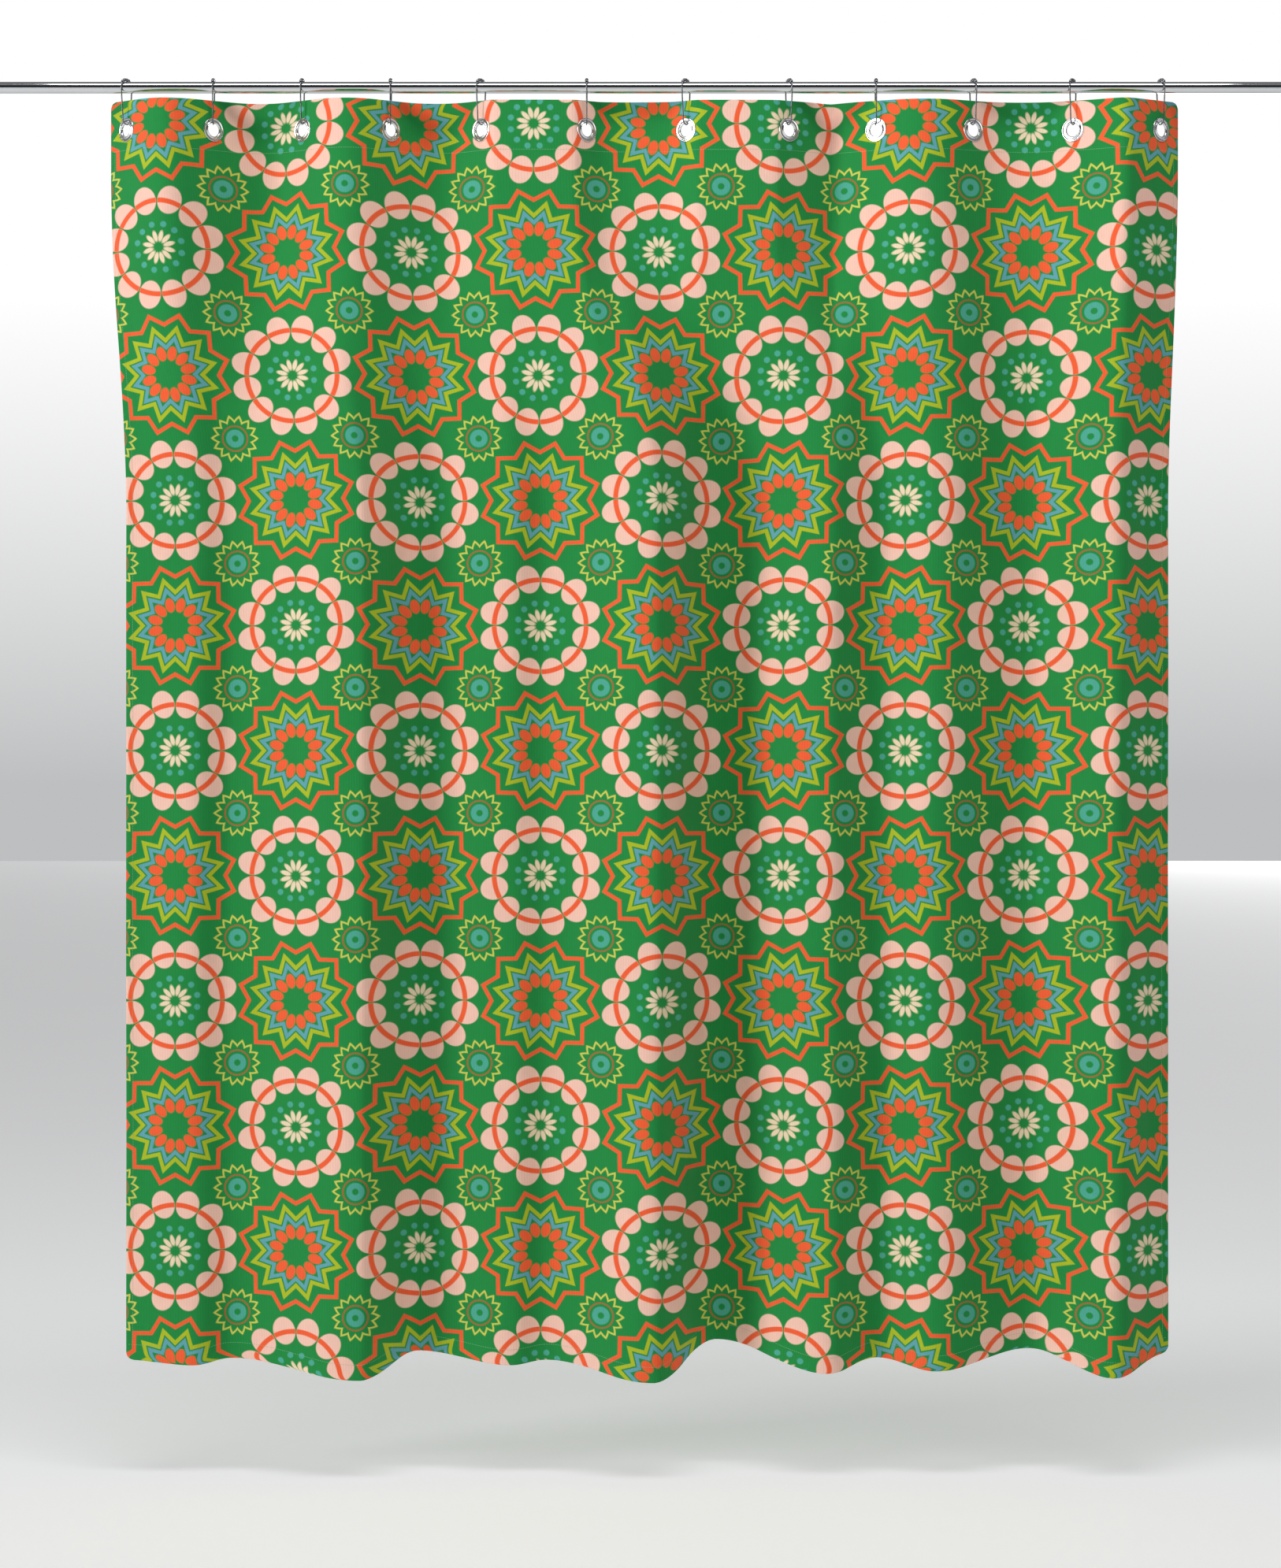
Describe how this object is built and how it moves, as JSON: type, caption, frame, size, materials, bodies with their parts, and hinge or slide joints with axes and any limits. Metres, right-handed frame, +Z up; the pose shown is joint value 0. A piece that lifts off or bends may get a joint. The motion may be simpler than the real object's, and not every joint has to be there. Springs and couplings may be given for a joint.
{
  "type": "shower curtain",
  "caption": "Printed fabric shower curtain hung by metal eyelets from bent-wire roller hooks on a straight wall-to-wall rod with round wall flanges.",
  "frame": {"origin": "centre of the left flange's wall face, on the rod's axis", "axes": "+X along the rod to the right wall, +Y into the bath, +Z up"},
  "size_m": [1.945, 0.1147, 1.9325],
  "materials": {
    "rod_chrome": "polished",
    "cover_chrome": "polished",
    "flange_zinc": "satin zinc",
    "hook_steel": "bright steel wire",
    "screw_steel": "plated",
    "eyelet_nickel": "nickel plated",
    "cloth_print": "printed ribbed polyester"
  },
  "bodies": {
    "rod": {"rod_tube": "rod_chrome", "flange_left": "flange_zinc", "flange_cover_left": "cover_chrome", "screw_left_upper": "screw_steel", "screw_left_lower": "screw_steel", "flange_right": "flange_zinc", "flange_cover_right": "cover_chrome", "screw_right_upper": "screw_steel", "screw_right_lower": "screw_steel"},
    "curtain": {"curtain": "cloth_print"},
    "hanger_12": {"hook_12": "hook_steel"},
    "wheel_12": {"roller_12": "hook_steel"},
    "eyelet_12": {"eyelet_12": "eyelet_nickel", "eyelet_ring_12": "eyelet_nickel"},
    "hanger_01": {"hook_01": "hook_steel"},
    "wheel_01": {"roller_01": "hook_steel"},
    "eyelet_01": {"eyelet_01": "eyelet_nickel", "eyelet_ring_01": "eyelet_nickel"},
    "hanger_02": {"hook_02": "hook_steel"},
    "wheel_02": {"roller_02": "hook_steel"},
    "eyelet_02": {"eyelet_02": "eyelet_nickel", "eyelet_ring_02": "eyelet_nickel"},
    "hanger_03": {"hook_03": "hook_steel"},
    "wheel_03": {"roller_03": "hook_steel"},
    "eyelet_03": {"eyelet_03": "eyelet_nickel", "eyelet_ring_03": "eyelet_nickel"},
    "hanger_04": {"hook_04": "hook_steel"},
    "wheel_04": {"roller_04": "hook_steel"},
    "eyelet_04": {"eyelet_04": "eyelet_nickel", "eyelet_ring_04": "eyelet_nickel"},
    "hanger_05": {"hook_05": "hook_steel"},
    "wheel_05": {"roller_05": "hook_steel"},
    "eyelet_05": {"eyelet_05": "eyelet_nickel", "eyelet_ring_05": "eyelet_nickel"},
    "hanger_06": {"hook_06": "hook_steel"},
    "wheel_06": {"roller_06": "hook_steel"},
    "eyelet_06": {"eyelet_06": "eyelet_nickel", "eyelet_ring_06": "eyelet_nickel"},
    "hanger_07": {"hook_07": "hook_steel"},
    "wheel_07": {"roller_07": "hook_steel"},
    "eyelet_07": {"eyelet_07": "eyelet_nickel", "eyelet_ring_07": "eyelet_nickel"},
    "hanger_08": {"hook_08": "hook_steel"},
    "wheel_08": {"roller_08": "hook_steel"},
    "eyelet_08": {"eyelet_08": "eyelet_nickel", "eyelet_ring_08": "eyelet_nickel"},
    "hanger_09": {"hook_09": "hook_steel"},
    "wheel_09": {"roller_09": "hook_steel"},
    "eyelet_09": {"eyelet_09": "eyelet_nickel", "eyelet_ring_09": "eyelet_nickel"},
    "hanger_10": {"hook_10": "hook_steel"},
    "wheel_10": {"roller_10": "hook_steel"},
    "eyelet_10": {"eyelet_10": "eyelet_nickel", "eyelet_ring_10": "eyelet_nickel"},
    "hanger_11": {"hook_11": "hook_steel"},
    "wheel_11": {"roller_11": "hook_steel"},
    "eyelet_11": {"eyelet_11": "eyelet_nickel", "eyelet_ring_11": "eyelet_nickel"}
  },
  "joints": [
    {"name": "swing", "type": "hinge", "parent": "rod", "child": "curtain", "pos_m": [0, 0, 0], "axis": [1, 0, 0], "range_deg": [-25, 25]},
    {"name": "draw", "type": "slide", "parent": "curtain", "child": "hanger_12", "axis": [1, 0, 0], "range_m": [-1.12457, 0], "deforming": ["curtain"]},
    {"name": "eyelet_turn_12", "type": "hinge", "parent": "hanger_12", "child": "eyelet_12", "pos_m": [1.74389, 0, -0.0625], "axis": [0, 0, 1], "range_deg": [-0.5, 28.44]},
    {"name": "roller_turn_12", "type": "hinge", "parent": "hanger_12", "child": "wheel_12", "pos_m": [1.74389, 0, 0.0113], "axis": [-0.342, 0.9397, 0], "continuous": true},
    {"name": "hook_slide_01", "type": "slide", "parent": "curtain", "child": "hanger_01", "axis": [1, 0, 0], "range_m": [-0.11377, 0.001]},
    {"name": "eyelet_turn_01", "type": "hinge", "parent": "hanger_01", "child": "eyelet_01", "pos_m": [0.21087, 0, -0.0625], "axis": [0, 0, 1], "range_deg": [-26.72, 0.5]},
    {"name": "roller_turn_01", "type": "hinge", "parent": "hanger_01", "child": "wheel_01", "pos_m": [0.21087, 0, 0.0113], "axis": [0.5, 0.866, 0], "continuous": true},
    {"name": "hook_slide_02", "type": "slide", "parent": "curtain", "child": "hanger_02", "axis": [1, 0, 0], "range_m": [-0.19886, 0.001]},
    {"name": "eyelet_turn_02", "type": "hinge", "parent": "hanger_02", "child": "eyelet_02", "pos_m": [0.33978, 0, -0.0625], "axis": [0, 0, 1], "range_deg": [-0.5, 18.5]},
    {"name": "roller_turn_02", "type": "hinge", "parent": "hanger_02", "child": "wheel_02", "pos_m": [0.33978, 0, 0.0113], "axis": [0, 1, 0], "continuous": true},
    {"name": "hook_slide_03", "type": "slide", "parent": "curtain", "child": "hanger_03", "axis": [1, 0, 0], "range_m": [-0.28578, 0.001]},
    {"name": "eyelet_turn_03", "type": "hinge", "parent": "hanger_03", "child": "eyelet_03", "pos_m": [0.47148, 0, -0.0625], "axis": [0, 0, 1], "range_deg": [-23.5, 0.5]},
    {"name": "roller_turn_03", "type": "hinge", "parent": "hanger_03", "child": "wheel_03", "pos_m": [0.47148, 0, 0.0113], "axis": [0.1392, 0.9903, 0], "continuous": true},
    {"name": "hook_slide_04", "type": "slide", "parent": "curtain", "child": "hanger_04", "axis": [1, 0, 0], "range_m": [-0.37224, 0.001]},
    {"name": "eyelet_turn_04", "type": "hinge", "parent": "hanger_04", "child": "eyelet_04", "pos_m": [0.60249, 0, -0.0625], "axis": [0, 0, 1], "range_deg": [-0.5, 17.5]},
    {"name": "roller_turn_04", "type": "hinge", "parent": "hanger_04", "child": "wheel_04", "pos_m": [0.60249, 0, 0.0113], "axis": [0, 1, 0], "continuous": true},
    {"name": "hook_slide_05", "type": "slide", "parent": "curtain", "child": "hanger_05", "axis": [1, 0, 0], "range_m": [-0.46054, 0.001]},
    {"name": "eyelet_turn_05", "type": "hinge", "parent": "hanger_05", "child": "eyelet_05", "pos_m": [0.73628, 0, -0.0625], "axis": [0, 0, 1], "range_deg": [-27.81, 0.5]},
    {"name": "roller_turn_05", "type": "hinge", "parent": "hanger_05", "child": "wheel_05", "pos_m": [0.73628, 0, 0.0113], "axis": [0.515, 0.8572, 0], "continuous": true},
    {"name": "hook_slide_06", "type": "slide", "parent": "curtain", "child": "hanger_06", "axis": [1, 0, 0], "range_m": [-0.56402, 0.001]},
    {"name": "eyelet_turn_06", "type": "hinge", "parent": "hanger_06", "child": "eyelet_06", "pos_m": [0.89306, 0, -0.0625], "axis": [0, 0, 1], "range_deg": [-0.5, 21]},
    {"name": "roller_turn_06", "type": "hinge", "parent": "hanger_06", "child": "wheel_06", "pos_m": [0.89306, 0, 0.0113], "axis": [0, 1, 0], "continuous": true},
    {"name": "hook_slide_07", "type": "slide", "parent": "curtain", "child": "hanger_07", "axis": [1, 0, 0], "range_m": [-0.66106, 0.001]},
    {"name": "eyelet_turn_07", "type": "hinge", "parent": "hanger_07", "child": "eyelet_07", "pos_m": [1.04009, 0, -0.0625], "axis": [0, 0, 1], "range_deg": [-29.42, 0.5]},
    {"name": "roller_turn_07", "type": "hinge", "parent": "hanger_07", "child": "wheel_07", "pos_m": [1.04009, 0, 0.0113], "axis": [0.5, 0.866, 0], "continuous": true},
    {"name": "hook_slide_08", "type": "slide", "parent": "curtain", "child": "hanger_08", "axis": [1, 0, 0], "range_m": [-0.76178, 0.001]},
    {"name": "eyelet_turn_08", "type": "hinge", "parent": "hanger_08", "child": "eyelet_08", "pos_m": [1.1927, 0, -0.0625], "axis": [0, 0, 1], "range_deg": [-0.5, 29.95]},
    {"name": "roller_turn_08", "type": "hinge", "parent": "hanger_08", "child": "wheel_08", "pos_m": [1.1927, 0, 0.0113], "axis": [-0.3584, 0.9336, 0], "continuous": true},
    {"name": "hook_slide_09", "type": "slide", "parent": "curtain", "child": "hanger_09", "axis": [1, 0, 0], "range_m": [-0.84686, 0.001]},
    {"name": "eyelet_turn_09", "type": "hinge", "parent": "hanger_09", "child": "eyelet_09", "pos_m": [1.32161, 0, -0.0625], "axis": [0, 0, 1], "range_deg": [-26.5, 0.5]},
    {"name": "roller_turn_09", "type": "hinge", "parent": "hanger_09", "child": "wheel_09", "pos_m": [1.32161, 0, 0.0113], "axis": [0, 1, 0], "continuous": true},
    {"name": "hook_slide_10", "type": "slide", "parent": "curtain", "child": "hanger_10", "axis": [1, 0, 0], "range_m": [-0.94207, 0.001]},
    {"name": "eyelet_turn_10", "type": "hinge", "parent": "hanger_10", "child": "eyelet_10", "pos_m": [1.46586, 0, -0.0625], "axis": [0, 0, 1], "range_deg": [-0.5, 30.01]},
    {"name": "roller_turn_10", "type": "hinge", "parent": "hanger_10", "child": "wheel_10", "pos_m": [1.46586, 0, 0.0113], "axis": [-0.3256, 0.9455, 0], "continuous": true},
    {"name": "hook_slide_11", "type": "slide", "parent": "curtain", "child": "hanger_11", "axis": [1, 0, 0], "range_m": [-1.03957, 0.001]},
    {"name": "eyelet_turn_11", "type": "hinge", "parent": "hanger_11", "child": "eyelet_11", "pos_m": [1.61358, 0, -0.0625], "axis": [0, 0, 1], "range_deg": [-30.01, 0.5]},
    {"name": "roller_turn_11", "type": "hinge", "parent": "hanger_11", "child": "wheel_11", "pos_m": [1.61358, 0, 0.0113], "axis": [0.4848, 0.8746, 0], "continuous": true}
  ],
  "couplings": [
    {"joint": "eyelet_turn_12", "follows": "draw", "rad_per_m": -0.43367},
    {"joint": "hook_slide_01", "follows": "draw", "ratio": 0.10028},
    {"joint": "eyelet_turn_01", "follows": "draw", "rad_per_m": 0.40697},
    {"joint": "hook_slide_02", "follows": "draw", "ratio": 0.17594},
    {"joint": "eyelet_turn_02", "follows": "draw", "rad_per_m": -0.27936},
    {"joint": "hook_slide_03", "follows": "draw", "ratio": 0.25323},
    {"joint": "eyelet_turn_03", "follows": "draw", "rad_per_m": 0.35696},
    {"joint": "hook_slide_04", "follows": "draw", "ratio": 0.33012},
    {"joint": "eyelet_turn_04", "follows": "draw", "rad_per_m": -0.26384},
    {"joint": "hook_slide_05", "follows": "draw", "ratio": 0.40864},
    {"joint": "eyelet_turn_05", "follows": "draw", "rad_per_m": 0.4239},
    {"joint": "hook_slide_06", "follows": "draw", "ratio": 0.50066},
    {"joint": "eyelet_turn_06", "follows": "draw", "rad_per_m": -0.31816},
    {"joint": "hook_slide_07", "follows": "draw", "ratio": 0.58695},
    {"joint": "eyelet_turn_07", "follows": "draw", "rad_per_m": 0.44887},
    {"joint": "hook_slide_08", "follows": "draw", "ratio": 0.67651},
    {"joint": "eyelet_turn_08", "follows": "draw", "rad_per_m": -0.45704},
    {"joint": "hook_slide_09", "follows": "draw", "ratio": 0.75217},
    {"joint": "eyelet_turn_09", "follows": "draw", "rad_per_m": 0.40352},
    {"joint": "hook_slide_10", "follows": "draw", "ratio": 0.83682},
    {"joint": "eyelet_turn_10", "follows": "draw", "rad_per_m": -0.45794},
    {"joint": "hook_slide_11", "follows": "draw", "ratio": 0.92352},
    {"joint": "eyelet_turn_11", "follows": "draw", "rad_per_m": 0.45794}
  ]
}
